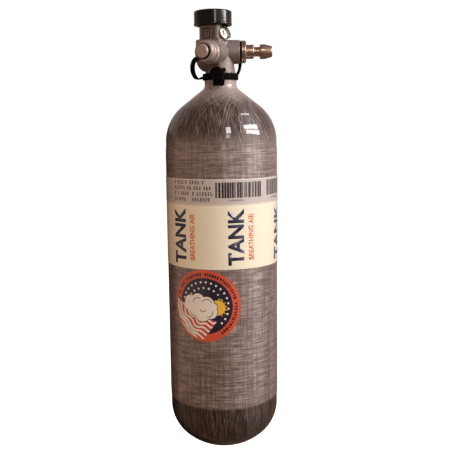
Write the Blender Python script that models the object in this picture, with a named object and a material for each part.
"""Breathing-air cylinder with its cylinder valve, for a self-contained breathing apparatus.

Frame: metres, +Z up. The origin is the lowest point of the cylinder's bottom dome, on its axis.
The capped fill port faces front-left (-Y and a little -X), and the outlet faces right (+X).
An azimuth is measured from -Y toward +X, seen from above.
"""

import math

import bmesh
import bpy
from mathutils import Matrix, Vector

MM = 0.001

# Pressure vessel: radii are of the glass layer's outer face, insets go inward from it
WALL_R = 69.9 * MM
CROWN_R = 79.5 * MM
KNUCKLE_R = 50.0 * MM
SHOULDER_R = 56.5 * MM
SHOULDER_Z = 398.7 * MM
SHOULDER_SWEEP = math.radians(52.0)
NECK_R = 19.9 * MM
NECK_FILLET_R = 8.0 * MM
GLASS_INSETS = (0.0, 1.2 * MM)
CARBON_INSETS = (1.6 * MM, 5.6 * MM)
LINER_INSETS = (6.0 * MM, 8.6 * MM)
GLASS_TOP_Z = 474.4 * MM
CARBON_TOP_Z = 473.0 * MM
LINER_TOP_Z = 474.8 * MM

# Layers and labels wrapped round the straight wall
HOOP_R = (70.1 * MM, 70.5 * MM)
HOOP_Z = (70.0 * MM, 392.0 * MM)
LABEL_R = (70.7 * MM, 70.85 * MM)
CERTIFICATE_Z = (325.2 * MM, 355.8 * MM)
BAND_Z = (247.1 * MM, 324.9 * MM)
STICKER_Z = 202.0 * MM
STICKER_RADIUS = 44.7 * MM
STICKER_AZIMUTH = math.radians(-18.8)

# Valve body
TRUNK_MM = ((0.0, 446.0), (9.9, 446.0), (10.9, 447.5), (10.9, 470.6), (9.2, 470.6), (9.2, 473.4),
            (10.9, 473.4), (10.9, 475.1), (18.7, 475.1), (18.7, 484.2), (17.9, 489.0),
            (16.9, 496.0), (15.8, 509.0), (15.0, 516.0), (13.4, 521.8), (11.0, 524.0), (0.0, 524.0))
STEM_X = -8.6 * MM
BLOCK_AZIMUTH = math.radians(-24.0)
LOWER_BLOCK_HALF = 17.0 * MM
LOWER_BLOCK_TOP = 524.0 * MM
UPPER_BLOCK_HALF = 13.7 * MM
UPPER_BLOCK_CORNER = 4.0 * MM
UPPER_BLOCK_TOP = 541.2 * MM
INLET_R = 3.0 * MM
SEAT_Z = 501.0 * MM
PASSAGE_Z = 505.0 * MM

# Ports
OUTLET_Z = 509.2 * MM
OUTLET_AZIMUTH = math.radians(90.0)
OUTLET_BOSS_R = 14.6 * MM
OUTLET_BOSS_END = 24.2 * MM
FILL_Z = 507.0 * MM
FILL_AZIMUTH = math.radians(-30.0)
FILL_BOSS_R = 15.4 * MM
FILL_BOSS_END = 23.5 * MM
BURST_Z = 497.0 * MM
BURST_AZIMUTH = BLOCK_AZIMUTH + math.pi

# Handwheel
GRIP_BOTTOM = 541.4 * MM
GRIP_TOP = 558.6 * MM
GRIP_R = 23.0 * MM
GRIP_LIP_R = 23.7 * MM

# Gauge: the frame's origin is the centre of the dial's face
GAUGE_AT = (4.6 * MM, -9.1 * MM, 530.8 * MM)
GAUGE_AZIMUTH = math.radians(50.0)
GAUGE_TILT = math.radians(18.0)
GAUGE_R = 8.4 * MM
GAUGE_STUB = (4.8 * MM, -9.2 * MM)

# Rubber tether: collar, straps and the stowed cap of the outlet
COLLAR_R = (19.1 * MM, 22.4 * MM)
COLLAR_Z = (474.8 * MM, 482.6 * MM)
PEG_AZIMUTH = math.radians(-7.0)
PEG_Z = 480.4 * MM
PEG_R = 5.9 * MM

LARGE_ROUND = 40
MEDIUM_ROUND = 24
SMALL_ROUND = 16
TINY_ROUND = 10
FINE_STEPS = (3, 4, 5, 2)
COARSE_STEPS = (2, 3, 3, 1)


# Scene and materials

def clear_scene():
    for item in list(bpy.data.objects):
        bpy.data.objects.remove(item, do_unlink=True)


def paint(item, colour, roughness, metallic=0.0, alpha=1.0):
    material = bpy.data.materials.new(item.name)
    material.use_nodes = True
    surface = material.node_tree.nodes["Principled BSDF"]
    surface.inputs["Base Color"].default_value = (*colour, 1.0)
    surface.inputs["Roughness"].default_value = roughness
    surface.inputs["Metallic"].default_value = metallic
    surface.inputs["Alpha"].default_value = alpha
    item.data.materials.clear()
    item.data.materials.append(material)


NICKEL = ((0.46, 0.42, 0.38), 0.32, 1.0)
BRIGHT_METAL = ((0.72, 0.68, 0.62), 0.18, 1.0)
STEEL = ((0.55, 0.55, 0.55), 0.30, 1.0)
BRASS = ((0.62, 0.50, 0.28), 0.30, 1.0)
RUBBER = ((0.015, 0.015, 0.017), 0.55)
SEAL = ((0.02, 0.02, 0.02), 0.60)
NYLON = ((0.75, 0.73, 0.66), 0.45)


# Building blocks

def add_object(name, mesh_builder, parent=None, smooth_angle=35.0):
    mesh = bpy.data.meshes.new(name)
    bmesh.ops.recalc_face_normals(mesh_builder, faces=mesh_builder.faces)
    mesh_builder.to_mesh(mesh)
    mesh_builder.free()
    mesh.shade_smooth()
    mesh.set_sharp_from_angle(angle=math.radians(smooth_angle))
    item = bpy.data.objects.new(name, mesh)
    bpy.context.collection.objects.link(item)
    item.parent = parent
    return item


def frame(name, origin, azimuth=0.0, tilt=0.0, along_z=False):
    """An empty whose local Z is the direction of an axis, X its right hand and Y its upper side."""
    item = bpy.data.objects.new(name, None)
    bpy.context.collection.objects.link(item)
    if along_z:
        item.matrix_world = Matrix.Translation(origin) @ Matrix.Rotation(azimuth, 4, "Z")
        return item
    across = Vector((math.cos(azimuth), math.sin(azimuth), 0.0))
    flat = Vector((math.sin(azimuth), -math.cos(azimuth), 0.0))
    out = flat * math.cos(tilt) + Vector((0.0, 0.0, math.sin(tilt)))
    up = out.cross(across)
    turn = Matrix((across, up, out)).transposed().to_4x4()
    item.matrix_world = Matrix.Translation(origin) @ turn
    return item


def turned(name, outline, segments, parent=None, smooth_angle=35.0):
    """A closed outline of (radius, height) points turned once round the local Z axis."""
    shape = bmesh.new()
    corners = [shape.verts.new((radius, 0.0, height)) for radius, height in outline]
    on_axis = outline[0][0] == 0.0 and outline[-1][0] == 0.0
    pairs = list(zip(corners, corners[1:]))
    if not on_axis:
        pairs.append((corners[-1], corners[0]))
    edges = [shape.edges.new(pair) for pair in pairs]
    bmesh.ops.spin(shape, geom=corners + edges, cent=(0, 0, 0), axis=(0, 0, 1),
                   angle=math.tau, steps=segments, use_merge=True)
    bmesh.ops.remove_doubles(shape, verts=shape.verts, dist=0.00001)
    bmesh.ops.dissolve_degenerate(shape, dist=0.000001, edges=shape.edges)
    return add_object(name, shape, parent, smooth_angle)


def millimetres(points):
    return [tuple(value * MM for value in point) for point in points]


def ring_outline(inner, outer, low, high):
    return [(inner, low), (outer, low), (outer, high), (inner, high)]


def rod(name, radius, low, high, segments, parent=None):
    return turned(name, [(0.0, low), (radius, low), (radius, high), (0.0, high)], segments, parent)


def lofted_square(name, sections, corner, parent=None, corner_steps=3):
    """Square sections of (height, half width) with round corners, stacked along the local Z."""
    shape = bmesh.new()
    rings = []
    for height, half in sections:
        radius = min(corner, half * 0.9)
        ring = []
        for quarter in range(4):
            for step in range(corner_steps + 1):
                angle = math.radians(90.0 * (quarter + step / corner_steps))
                centre = math.radians(45.0 + 90.0 * quarter)
                reach = (half - radius) * math.sqrt(2.0)
                across = reach * math.cos(centre) + radius * math.cos(angle)
                along = reach * math.sin(centre) + radius * math.sin(angle)
                ring.append(shape.verts.new((across, along, height)))
        rings.append(ring)
    for low, high in zip(rings, rings[1:]):
        for index in range(len(low)):
            after = (index + 1) % len(low)
            shape.faces.new((low[index], low[after], high[after], high[index]))
    shape.faces.new(reversed(rings[0]))
    shape.faces.new(rings[-1])
    return add_object(name, shape, parent)


def tube_along(name, points, radius, sides, parent=None):
    """A round wire with flat ends through the given points."""
    shape = bmesh.new()
    rings = []
    side = None
    for index, point in enumerate(points):
        before = points[max(index - 1, 0)]
        after = points[min(index + 1, len(points) - 1)]
        along = (after - before).normalized()
        start = side if side is not None else along.orthogonal()
        side = (start - along * start.dot(along)).normalized()
        other = along.cross(side)
        angles = [math.tau * step / sides for step in range(sides)]
        rings.append([shape.verts.new(point + radius * (side * math.cos(a) + other * math.sin(a)))
                      for a in angles])
    for low, high in zip(rings, rings[1:]):
        for index in range(sides):
            after = (index + 1) % sides
            shape.faces.new((low[index], low[after], high[after], high[index]))
    shape.faces.new(reversed(rings[0]))
    shape.faces.new(rings[-1])
    return add_object(name, shape, parent, smooth_angle=60.0)


def coil_spring(name, radii, heights, turns, wire, parent, steps_per_turn=8, sides=4):
    count = int(turns * steps_per_turn)
    points = []
    for index in range(count + 1):
        share = index / count
        angle = math.tau * turns * share
        radius = radii[0] + (radii[1] - radii[0]) * share
        height = heights[0] + (heights[1] - heights[0]) * share
        points.append(Vector((radius * math.cos(angle), radius * math.sin(angle), height)))
    return tube_along(name, points, wire, sides, parent)


def smooth_route(knots, steps):
    """Points of a smooth curve through the knots (Catmull-Rom)."""
    vectors = [Vector(knot) for knot in knots]
    padded = [vectors[0] * 2 - vectors[1]] + vectors + [vectors[-1] * 2 - vectors[-2]]
    route = []
    for before, start, end, after in zip(padded, padded[1:], padded[2:], padded[3:]):
        for step in range(steps):
            share = step / steps
            route.append(0.5 * (2 * start + (end - before) * share
                                + (2 * before - 5 * start + 4 * end - after) * share ** 2
                                + (3 * start - before - 3 * end + after) * share ** 3))
    route.append(vectors[-1])
    return route


def flat_strap(name, knots, faces, width, thickness, steps=4):
    """A flat band along the route; each knot has the direction that the band's face looks in."""
    route = smooth_route(knots, steps)
    looks = smooth_route(faces, steps)
    shape = bmesh.new()
    rings = []
    for index, (point, look) in enumerate(zip(route, looks)):
        along = (route[min(index + 1, len(route) - 1)] - route[max(index - 1, 0)]).normalized()
        out = (look - along * look.dot(along)).normalized() * thickness / 2
        side = along.cross(out).normalized() * width / 2
        ring = [point + side + out, point - side + out, point - side - out, point + side - out]
        rings.append([shape.verts.new(corner) for corner in ring])
    for low, high in zip(rings, rings[1:]):
        for index in range(4):
            after = (index + 1) % 4
            shape.faces.new((low[index], low[after], high[after], high[index]))
    shape.faces.new(reversed(rings[0]))
    shape.faces.new(rings[-1])
    return add_object(name, shape, smooth_angle=50.0)


def combine(target, tools, operation):
    """One Boolean with all of the tools, which are kept as hidden helpers."""
    group = bpy.data.collections.new(f"{target.name}_{operation.lower()}")
    bpy.context.scene.collection.children.link(group)
    for tool in tools:
        bpy.context.collection.objects.unlink(tool)
        group.objects.link(tool)
        tool.hide_render = True
        tool.display_type = "WIRE"
    change = target.modifiers.new(group.name, "BOOLEAN")
    change.operation = operation
    change.solver = "EXACT"
    change.operand_type = "COLLECTION"
    change.collection = group


def join(target, *tools):
    combine(target, tools, "UNION")


def cut(target, *tools):
    combine(target, tools, "DIFFERENCE")


# Pressure vessel

def arc(centre, radius, start, sweep, steps):
    points = []
    for step in range(steps + 1):
        angle = start + sweep * step / steps
        points.append((centre[0] + radius * math.cos(angle), centre[1] + radius * math.sin(angle)))
    return points


def vessel_outline(inset, top, steps):
    """Half outline of one layer face, from the bottom on the axis up to the neck's top.

    The steps divide the crown, the knuckle, the shoulder and the neck's fillet.
    """
    knuckle_at = WALL_R - KNUCKLE_R
    drop = math.sqrt((CROWN_R - KNUCKLE_R) ** 2 - knuckle_at ** 2)
    knuckle_z = CROWN_R - drop
    meet = math.atan2(knuckle_at, drop)
    down = -math.pi / 2
    crown = arc((0.0, CROWN_R), CROWN_R - inset, down, meet, steps[0])
    crown[0] = (0.0, inset)
    knuckle = arc((knuckle_at, knuckle_z), KNUCKLE_R - inset, down + meet,
                  math.pi / 2 - meet, steps[1])
    shoulder_at = WALL_R - SHOULDER_R
    shoulder = arc((shoulder_at, SHOULDER_Z), SHOULDER_R - inset, 0.0,
                   SHOULDER_SWEEP, steps[2])
    end_r = shoulder_at + SHOULDER_R * math.cos(SHOULDER_SWEEP)
    end_z = SHOULDER_Z + SHOULDER_R * math.sin(SHOULDER_SWEEP)
    fillet_at = NECK_R + NECK_FILLET_R
    offset = NECK_FILLET_R - (fillet_at - end_r) * math.cos(SHOULDER_SWEEP)
    fillet_z = end_z + offset / math.sin(SHOULDER_SWEEP)
    fillet = arc((fillet_at, fillet_z), NECK_FILLET_R + inset,
                 math.pi + SHOULDER_SWEEP, -SHOULDER_SWEEP, steps[3])
    return crown + knuckle[1:] + shoulder + fillet + [(NECK_R - inset, top)]


def vessel_layer(name, insets, top, segments, outer_steps=COARSE_STEPS):
    outer = vessel_outline(insets[0], top, outer_steps)
    inner = vessel_outline(insets[1], top, COARSE_STEPS)
    return turned(name, outer + inner[::-1], segments, smooth_angle=40.0)


def wrapped_band(name, radii, heights):
    return turned(name, ring_outline(*radii, *heights), LARGE_ROUND)


def round_sticker():
    """A disc bent round the wall: upright strips between the wall's own facet edges."""
    facet = math.tau / LARGE_ROUND
    reach = STICKER_RADIUS / LABEL_R[1]
    first = math.ceil((STICKER_AZIMUTH - reach) / facet)
    last = math.floor((STICKER_AZIMUTH + reach) / facet)
    azimuths = [facet * index for index in range(first, last + 1)]
    azimuths = [STICKER_AZIMUTH - reach * 0.995] + azimuths + [STICKER_AZIMUTH + reach * 0.995]
    shape = bmesh.new()
    columns = []
    for azimuth in azimuths:
        across = LABEL_R[1] * (azimuth - STICKER_AZIMUTH)
        height = math.sqrt(STICKER_RADIUS ** 2 - across ** 2)
        columns.append([shape.verts.new((radius * math.sin(azimuth), -radius * math.cos(azimuth),
                                         STICKER_Z + level))
                        for radius, level in ((LABEL_R[0], -height), (LABEL_R[1], -height),
                                              (LABEL_R[1], height), (LABEL_R[0], height))])
    for near, far in zip(columns, columns[1:]):
        for index in range(4):
            after = (index + 1) % 4
            shape.faces.new((near[index], near[after], far[after], far[index]))
    shape.faces.new(reversed(columns[0]))
    shape.faces.new(columns[-1])
    return add_object("round_sticker", shape)


def build_cylinder():
    liner = vessel_layer("cylinder_liner", LINER_INSETS, LINER_TOP_Z, MEDIUM_ROUND)
    paint(liner, (0.70, 0.70, 0.71), 0.35, 1.0)
    carbon = vessel_layer("carbon_overwrap", CARBON_INSETS, CARBON_TOP_Z, MEDIUM_ROUND)
    paint(carbon, (0.03, 0.03, 0.03), 0.35)
    glass = vessel_layer("glass_overwrap", GLASS_INSETS, GLASS_TOP_Z, LARGE_ROUND, FINE_STEPS)
    paint(glass, (0.20, 0.175, 0.165), 0.25)
    hoop = wrapped_band("hoop_winding", HOOP_R, HOOP_Z)
    paint(hoop, (0.34, 0.31, 0.29), 0.30)
    certificate = wrapped_band("certification_label", LABEL_R, CERTIFICATE_Z)
    paint(certificate, (0.62, 0.56, 0.53), 0.40)
    band = wrapped_band("printed_band", LABEL_R, BAND_Z)
    paint(band, (0.86, 0.80, 0.66), 0.40)
    paint(round_sticker(), (0.75, 0.16, 0.06), 0.40)


# Valve body and what is fixed to it

def body_blank():
    return turned("valve_body", millimetres(TRUNK_MM), MEDIUM_ROUND)


def drilling(name, start, end, radius):
    """The tool of a straight round hole between two points."""
    start = Vector(start)
    end = Vector(end)
    hole = rod(name, radius, 0.0, (end - start).length, TINY_ROUND)
    hole.rotation_mode = "QUATERNION"
    hole.rotation_quaternion = Vector((0, 0, 1)).rotation_difference(end - start)
    hole.location = start
    return hole


def port_boss(name, radius, end, parent):
    edge = 0.8 * MM
    return turned(name, [(0.0, 1.0 * MM), (radius, 1.0 * MM), (radius, end - edge),
                         (radius - edge, end), (0.0, end)], MEDIUM_ROUND, parent)


def body_additions(outlet, fill):
    block_axis = frame("block_axis", (STEM_X, 0.0, 0.0), BLOCK_AZIMUTH, along_z=True)
    lower = [(485.5 * MM, 10.4 * MM), (489.5 * MM, 14.2 * MM), (498.0 * MM, LOWER_BLOCK_HALF),
             (522.6 * MM, LOWER_BLOCK_HALF), (LOWER_BLOCK_TOP, LOWER_BLOCK_HALF - 1.4 * MM)]
    upper = [(LOWER_BLOCK_TOP - 4.0 * MM, UPPER_BLOCK_HALF), (UPPER_BLOCK_TOP, UPPER_BLOCK_HALF)]
    return (lofted_square("lower_block", lower, 3.5 * MM, block_axis),
            lofted_square("upper_block", upper, UPPER_BLOCK_CORNER, block_axis),
            port_boss("fill_boss", FILL_BOSS_R, FILL_BOSS_END, fill),
            port_boss("outlet_boss", OUTLET_BOSS_R, OUTLET_BOSS_END, outlet))


def body_bores(stem_axis, outlet, fill, burst, gauge):
    beyond = 40.0 * MM
    gauge_foot = frame("gauge_foot", (*GAUGE_STUB, 0.0), along_z=True)
    guard_pocket = rod("guard_pocket", 9.8 * MM, -3.4 * MM, beyond, MEDIUM_ROUND, gauge)
    guard_pocket.location.x = 1.6 * MM
    return (rod("gauge_pocket", GAUGE_R + 0.5 * MM, -6.1 * MM, beyond, MEDIUM_ROUND, gauge),
            guard_pocket,
            rod("inlet_bore", INLET_R, 440.0 * MM, 491.0 * MM, TINY_ROUND),
            rod("bonnet_bore", 8.2 * MM, 522.0 * MM, 545.0 * MM, SMALL_ROUND, stem_axis),
            rod("seat_chamber", 6.3 * MM, SEAT_Z, 524.0 * MM, SMALL_ROUND, stem_axis),
            rod("seat_orifice", 2.0 * MM, 488.8 * MM, 502.0 * MM, TINY_ROUND, stem_axis),
            rod("outlet_bore", 8.3 * MM, 9.0 * MM, beyond, SMALL_ROUND, outlet),
            rod("fill_bore", 7.3 * MM, 12.0 * MM, beyond, SMALL_ROUND, fill),
            rod("fill_passage", 2.0 * MM, 0.0, 13.0 * MM, TINY_ROUND, fill),
            rod("burst_bore", 4.0 * MM, 7.0 * MM, beyond, TINY_ROUND, burst),
            rod("burst_face", 7.6 * MM, 17.1 * MM, beyond, SMALL_ROUND, burst),
            rod("burst_feed", 1.2 * MM, 0.0, 8.0 * MM, TINY_ROUND, burst),
            rod("gauge_socket", 3.2 * MM, 512.0 * MM, 530.0 * MM, TINY_ROUND, gauge_foot),
            rod("gauge_passage", 1.0 * MM, 488.2 * MM, 513.0 * MM, TINY_ROUND, gauge_foot),
            drilling("gauge_feed", (0.0, 0.0, 489.3 * MM), (*GAUGE_STUB, 489.3 * MM), 0.9 * MM),
            drilling("seat_feed", (0.5 * MM, 0, 490.1 * MM), (STEM_X, 0, 490.1 * MM), 1.7 * MM),
            drilling("outlet_passage", (STEM_X, 0, PASSAGE_Z), (10.0 * MM, 0, PASSAGE_Z),
                     2.6 * MM))


def build_valve_body(stem_axis, outlet, fill, burst, gauge):
    body = body_blank()
    join(body, *body_additions(outlet, fill))
    cut(body, *body_bores(stem_axis, outlet, fill, burst, gauge))
    paint(body, *NICKEL)


def build_inlet():
    seal = turned("neck_o_ring", ring_outline(9.5 * MM, 11.05 * MM, 470.9 * MM, 473.1 * MM),
                  SMALL_ROUND)
    paint(seal, *SEAL)
    tube = turned("debris_tube", ring_outline(1.9 * MM, 2.6 * MM, 418.0 * MM, 466.0 * MM),
                  TINY_ROUND)
    paint(tube, *BRASS)


def build_burst_disc(burst):
    plug = turned("burst_disc_plug", [(1.3 * MM, 8.2 * MM), (3.7 * MM, 8.2 * MM),
                                      (3.7 * MM, 17.4 * MM), (6.4 * MM, 17.4 * MM),
                                      (6.4 * MM, 21.0 * MM), (1.3 * MM, 21.0 * MM)], 6, burst)
    paint(plug, *BRASS)
    disc = rod("burst_disc", 3.6 * MM, 7.3 * MM, 7.8 * MM, TINY_ROUND, burst)
    paint(disc, (0.72, 0.42, 0.28), 0.3, 1.0)


# Stem, seat and handwheel

def build_stem_group(stem_axis):
    stem = turned("valve_stem", [(0.0, 508.5 * MM), (2.3 * MM, 508.5 * MM),
                                 (2.3 * MM, 519.8 * MM), (5.6 * MM, 519.8 * MM),
                                 (5.6 * MM, 522.8 * MM), (3.1 * MM, 522.8 * MM),
                                 (3.1 * MM, 551.8 * MM), (1.6 * MM, 551.8 * MM),
                                 (1.6 * MM, 542.0 * MM), (0.0, 542.0 * MM)],
                  TINY_ROUND, stem_axis)
    paint(stem, *STEEL)
    screw = turned("handwheel_screw", [(0.0, 543.0 * MM), (1.3 * MM, 543.0 * MM),
                                       (1.3 * MM, 552.2 * MM), (5.2 * MM, 552.2 * MM),
                                       (5.2 * MM, 553.8 * MM), (4.4 * MM, 554.5 * MM),
                                       (0.0, 554.5 * MM)], TINY_ROUND, stem_axis)
    paint(screw, *STEEL)
    plug = turned("seat_plug", [(0.0, 503.7 * MM), (3.5 * MM, 503.7 * MM),
                                (3.5 * MM, 501.6 * MM), (4.3 * MM, 501.6 * MM),
                                (4.3 * MM, 508.0 * MM), (6.0 * MM, 508.6 * MM),
                                (6.0 * MM, 514.6 * MM), (2.7 * MM, 514.6 * MM),
                                (2.7 * MM, 505.0 * MM), (0.0, 505.0 * MM)],
                  SMALL_ROUND, stem_axis)
    paint(plug, *BRASS)
    insert = rod("seat_insert", 3.2 * MM, 501.3 * MM, 503.4 * MM, TINY_ROUND, stem_axis)
    paint(insert, *NYLON)


def build_bonnet(stem_axis):
    bonnet = turned("bonnet_nut", [(3.4 * MM, 523.1 * MM), (7.9 * MM, 523.1 * MM),
                                   (7.9 * MM, 541.5 * MM), (10.6 * MM, 541.5 * MM),
                                   (10.6 * MM, 544.6 * MM), (9.8 * MM, 545.2 * MM),
                                   (5.4 * MM, 545.2 * MM), (5.4 * MM, 526.0 * MM),
                                   (3.4 * MM, 526.0 * MM)], SMALL_ROUND, stem_axis)
    paint(bonnet, *NICKEL)
    packing = turned("stem_packing", ring_outline(3.35 * MM, 5.15 * MM, 526.3 * MM, 531.0 * MM),
                     TINY_ROUND, stem_axis)
    paint(packing, *NYLON)
    gland = turned("packing_gland", ring_outline(3.35 * MM, 5.15 * MM, 531.3 * MM, 542.5 * MM),
                   TINY_ROUND, stem_axis)
    paint(gland, *BRASS)


def build_handwheel(stem_axis):
    hub = ((3.5, 548.6), (6.6, 548.6), (6.6, 549.4), (16.6, 549.4), (16.6, 544.6), (19.3, 544.6),
           (19.3, 556.0), (17.0, 556.0), (17.0, 551.9), (3.5, 551.9))
    hub = turned("handwheel_hub", millimetres(hub), MEDIUM_ROUND, stem_axis)
    paint(hub, (0.03, 0.03, 0.035), 0.4)
    lip = (GRIP_LIP_R, GRIP_BOTTOM + 1.6 * MM)
    grip = [(19.6 * MM, GRIP_BOTTOM), (GRIP_LIP_R - 0.4 * MM, GRIP_BOTTOM), lip,
            (GRIP_R + 0.3 * MM, GRIP_BOTTOM + 4.0 * MM), (GRIP_R, GRIP_TOP - 1.4 * MM),
            (GRIP_R - 0.5 * MM, GRIP_TOP - 0.4 * MM), (GRIP_R - 1.6 * MM, GRIP_TOP),
            (15.6 * MM, GRIP_TOP), (15.6 * MM, GRIP_TOP - 2.2 * MM),
            (19.6 * MM, GRIP_TOP - 2.2 * MM)]
    grip = turned("handwheel_grip", grip, MEDIUM_ROUND, stem_axis)
    paint(grip, *RUBBER)
    cap = turned("handwheel_cap", [(0.0, GRIP_TOP - 2.0 * MM), (12.0 * MM, GRIP_TOP - 2.0 * MM),
                                   (12.0 * MM, 552.2 * MM), (13.6 * MM, 552.2 * MM),
                                   (13.6 * MM, GRIP_TOP - 2.0 * MM),
                                   (15.3 * MM, GRIP_TOP - 2.0 * MM),
                                   (15.3 * MM, GRIP_TOP - 0.1 * MM),
                                   (0.0, GRIP_TOP - 0.1 * MM)], SMALL_ROUND, stem_axis)
    paint(cap, (0.02, 0.02, 0.022), 0.3)
    spring = coil_spring("handwheel_spring", (9.2 * MM, 5.2 * MM), (545.95 * MM, 547.9 * MM),
                         2.0, 0.45 * MM, stem_axis, 10)
    paint(spring, *STEEL)


# Pressure gauge

def build_gauge(gauge):
    case = turned("gauge_case", [(0.0, -5.6 * MM), (GAUGE_R - 0.8 * MM, -5.6 * MM),
                                 (GAUGE_R, -4.8 * MM), (GAUGE_R, 1.4 * MM),
                                 (GAUGE_R - 0.8 * MM, 1.4 * MM),
                                 (GAUGE_R - 0.8 * MM, -4.8 * MM), (0.0, -4.8 * MM)],
                  MEDIUM_ROUND, gauge)
    stub = rod("gauge_stub", 2.9 * MM, 513.0 * MM, 522.4 * MM, TINY_ROUND,
               frame("gauge_stub_axis", (*GAUGE_STUB, 0.0), along_z=True))
    join(case, stub)
    paint(case, *NICKEL)
    dial = turned("gauge_dial", ring_outline(0.75 * MM, 7.3 * MM, -0.5 * MM, 0.0),
                  SMALL_ROUND, gauge)
    paint(dial, (0.92, 0.91, 0.84), 0.5)
    pointer = rod("gauge_pointer", 0.45 * MM, -3.0 * MM, 0.8 * MM, 8, gauge)
    hand = lofted_square("pointer_hand", [(0.35 * MM, 0.4 * MM), (0.75 * MM, 0.4 * MM)],
                         0.1 * MM, gauge, 1)
    hand.scale = (1.0, 9.0, 1.0)
    hand.location = (0.0, 2.0 * MM, 0.0)
    join(pointer, hand)
    paint(pointer, (0.04, 0.04, 0.04), 0.5)
    sweep = [math.radians(-45.0 + 27.0 * step) for step in range(11)]
    route = [Vector((4.9 * MM * math.cos(a), 4.9 * MM * math.sin(a), -2.4 * MM)) for a in sweep]
    tube = tube_along("gauge_bourdon_tube", route, 0.8 * MM, 6, gauge)
    paint(tube, *BRASS)
    rim = GAUGE_R - 0.2 * MM
    outer = [(rim * math.cos(a), 2.6 * MM + 3.6 * MM * math.sin(a))
             for a in (math.pi / 8, math.pi / 4, math.pi * 3 / 8)]
    inner = [((rim - 0.9 * MM) * math.cos(a), 2.4 * MM + 2.8 * MM * math.sin(a))
             for a in (math.pi * 3 / 8, math.pi / 4, math.pi / 8)]
    shell = ([(rim - 0.9 * MM, 1.7 * MM), (rim, 1.7 * MM), (rim, 2.6 * MM)] + outer
             + [(0.0, 6.2 * MM), (0.0, 5.2 * MM)] + inner)
    lens = turned("gauge_lens", shell, MEDIUM_ROUND, gauge)
    paint(lens, (0.95, 0.96, 0.97), 0.05, alpha=0.25)


def build_gauge_guard(gauge):
    """A rubber bumper along the outer side of the gauge's case."""
    shape = bmesh.new()
    count = 8
    angles = [math.radians(-31.0 + 84.0 * step / count) for step in range(count + 1)]
    section = [(GAUGE_R + 0.3 * MM, -3.0 * MM), (GAUGE_R + 1.9 * MM, -3.0 * MM),
               (GAUGE_R + 1.9 * MM, 2.6 * MM), (GAUGE_R + 0.3 * MM, 2.6 * MM)]
    rings = [[shape.verts.new((r * math.cos(a), r * math.sin(a), t)) for r, t in section]
             for a in angles]
    for low, high in zip(rings, rings[1:]):
        for index in range(4):
            after = (index + 1) % 4
            shape.faces.new((low[index], low[after], high[after], high[index]))
    shape.faces.new(reversed(rings[0]))
    shape.faces.new(rings[-1])
    paint(add_object("gauge_guard", shape, gauge), *RUBBER)


# Outlet: quick-connect plug with its own check valve

def build_outlet(outlet):
    outline = ((5.0, 9.8), (8.0, 9.8), (8.0, 18.6), (6.9, 18.6), (6.9, 21.0), (8.0, 21.0),
               (8.0, 25.8), (12.6, 25.8), (14.0, 27.0), (14.0, 30.6), (12.2, 32.2), (8.65, 32.2),
               (8.65, 41.5), (5.85, 41.9), (5.85, 49.1), (9.0, 49.5), (9.0, 55.3), (6.9, 63.6),
               (6.3, 64.5), (3.2, 64.5), (3.2, 38.5), (5.0, 36.5))
    plug = turned("quick_connect_plug", millimetres(outline), MEDIUM_ROUND, outlet)
    paint(plug, *BRIGHT_METAL)
    seal = turned("outlet_o_ring", ring_outline(7.15 * MM, 8.1 * MM, 18.8 * MM, 20.8 * MM),
                  SMALL_ROUND, outlet)
    paint(seal, *SEAL)
    poppet = turned("outlet_check_poppet", [(0.0, 29.5 * MM), (4.6 * MM, 29.5 * MM),
                                            (4.6 * MM, 36.0 * MM), (2.2 * MM, 38.6 * MM),
                                            (1.3 * MM, 38.6 * MM), (1.3 * MM, 61.0 * MM),
                                            (0.0, 61.0 * MM)], TINY_ROUND, outlet)
    paint(poppet, *BRASS)
    spring = coil_spring("outlet_check_spring", (4.0 * MM, 4.0 * MM), (10.2 * MM, 28.7 * MM),
                         5.0, 0.45 * MM, outlet)
    paint(spring, *STEEL)


# Fill port: fitting, check valve and tethered screw cap

def build_fill_port(fill):
    outline = ((4.2, 13.0), (7.0, 13.0), (7.0, 23.9), (13.6, 23.9), (14.4, 24.7), (14.4, 28.8),
               (13.6, 29.7), (6.1, 29.7), (6.1, 37.0), (2.4, 37.0), (2.4, 31.8), (4.2, 30.0))
    fitting = turned("fill_fitting", millimetres(outline), MEDIUM_ROUND, fill)
    paint(fitting, *BRIGHT_METAL)
    poppet = turned("fill_check_poppet", [(0.0, 24.5 * MM), (3.9 * MM, 24.5 * MM),
                                          (3.9 * MM, 29.5 * MM), (1.6 * MM, 31.9 * MM),
                                          (0.0, 31.9 * MM)], TINY_ROUND, fill)
    paint(poppet, *BRASS)
    spring = coil_spring("fill_check_spring", (3.3 * MM, 3.3 * MM), (13.2 * MM, 23.8 * MM),
                         4.0, 0.4 * MM, fill)
    paint(spring, *STEEL)
    outline = ((6.5, 30.1), (12.4, 30.1), (12.9, 30.7), (12.9, 39.7), (12.1, 40.5), (7.6, 40.5),
               (7.6, 42.6), (8.7, 42.6), (8.7, 43.7), (7.6, 44.7), (5.8, 45.0), (0.0, 45.0),
               (0.0, 38.1), (6.5, 38.1))
    cap = turned("fill_cap", millimetres(outline), MEDIUM_ROUND, fill)
    paint(cap, *BRIGHT_METAL)
    gasket = turned("fill_cap_gasket", ring_outline(2.6 * MM, 6.1 * MM, 37.2 * MM, 37.9 * MM),
                    TINY_ROUND, fill)
    paint(gasket, *SEAL)
    ring = turned("fill_cap_ring", ring_outline(7.9 * MM, 9.8 * MM, 40.8 * MM, 42.3 * MM),
                  MEDIUM_ROUND, fill)
    paint(ring, *RUBBER)


# Rubber tether

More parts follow.
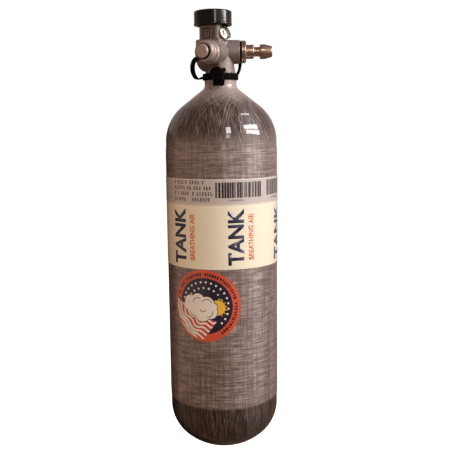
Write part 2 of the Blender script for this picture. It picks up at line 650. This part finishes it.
def build_tether(outlet, peg):
    collar = turned("tether_collar", ring_outline(*COLLAR_R, *COLLAR_Z), MEDIUM_ROUND)
    join(collar, rod("stowage_peg", PEG_R, 21.2 * MM, 34.3 * MM, SMALL_ROUND, peg))
    paint(collar, *RUBBER)
    ring = turned("outlet_strap_ring", ring_outline(8.4 * MM, 14.2 * MM, 24.5 * MM, 25.5 * MM),
                  MEDIUM_ROUND, outlet)
    paint(ring, *RUBBER)
    route = [(25.0, 8.5, 496.8), (24.8, 10.0, 492.8), (23.8, 11.8, 487.6), (20.9, 11.3, 481.6)]
    looks = [(0.6, 0.8, 0.0), (0.7, 0.7, 0.0), (0.8, 0.6, 0.0), (0.8, 0.6, 0.0)]
    strap = flat_strap("outlet_strap", millimetres(route), looks, 5.0 * MM, 1.4 * MM)
    paint(strap, *RUBBER)
    route = [(-21.4, -10.2, 478.2), (-25.2, -14.6, 475.8), (-29.6, -21.0, 476.2),
             (-32.8, -27.2, 481.4), (-33.6, -31.4, 488.8), (-31.8, -33.4, 495.4),
             (-27.4, -32.6, 499.3)]
    looks = [(0.0, 0.0, -1.0), (0.0, 0.0, -1.0), (-0.35, -0.5, -0.8), (-0.5, -0.82, -0.3),
             (-0.45, -0.88, 0.1), (-0.45, -0.87, 0.2), (-0.5, -0.866, 0.0)]
    strap = flat_strap("fill_cap_strap", millimetres(route), looks, 6.4 * MM, 1.5 * MM, 3)
    paint(strap, *RUBBER)


def build_plug_cap(peg):
    outline = ((6.3, 23.1), (8.2, 23.1), (8.8, 23.7), (8.8, 35.5), (8.1, 36.9), (6.6, 37.4),
               (0.0, 37.4), (0.0, 34.8), (6.3, 34.8))
    cap = turned("plug_cap", millimetres(outline), SMALL_ROUND, peg)
    tab = lofted_square("plug_cap_tab", [(27.9 * MM, 2.1 * MM), (32.3 * MM, 2.1 * MM)],
                        0.8 * MM, peg, 1)
    tab.location = (8.2 * MM, 5.0 * MM, 0.0)
    tongue = lofted_square("plug_cap_tongue", [(29.0 * MM, 4.0 * MM), (32.4 * MM, 4.0 * MM)],
                           0.8 * MM, peg, 1)
    tongue.scale = (1.75, 1.0, 1.0)
    tongue.location = (1.6 * MM, -10.0 * MM, 0.0)
    join(cap, tab, tongue)
    paint(cap, *RUBBER)
    route = [(-16.2, -16.0, 479.0), (-18.9, -20.3, 478.0), (-19.3, -25.9, 477.8),
             (-14.7, -29.9, 479.0)]
    looks = [(-0.7, -0.7, 0.0), (-0.95, -0.3, 0.0), (-0.9, -0.4, 0.0), (-0.5, -0.86, 0.0)]
    strap = flat_strap("plug_cap_strap", millimetres(route), looks, 5.0 * MM, 1.5 * MM, 3)
    paint(strap, *RUBBER)


def main():
    clear_scene()
    stem_axis = frame("stem_axis", (STEM_X, 0.0, 0.0), along_z=True)
    outlet = frame("outlet_axis", (0.0, 0.0, OUTLET_Z), OUTLET_AZIMUTH)
    fill = frame("fill_axis", (0.0, 0.0, FILL_Z), FILL_AZIMUTH)
    burst = frame("burst_axis", (STEM_X, 0.0, BURST_Z), BURST_AZIMUTH)
    gauge = frame("gauge_axis", GAUGE_AT, GAUGE_AZIMUTH, GAUGE_TILT)
    peg = frame("peg_axis", (0.0, 0.0, PEG_Z), PEG_AZIMUTH)
    build_cylinder()
    build_valve_body(stem_axis, outlet, fill, burst, gauge)
    build_inlet()
    build_burst_disc(burst)
    build_stem_group(stem_axis)
    build_bonnet(stem_axis)
    build_handwheel(stem_axis)
    build_gauge(gauge)
    build_gauge_guard(gauge)
    build_outlet(outlet)
    build_fill_port(fill)
    build_tether(outlet, peg)
    build_plug_cap(peg)


main()
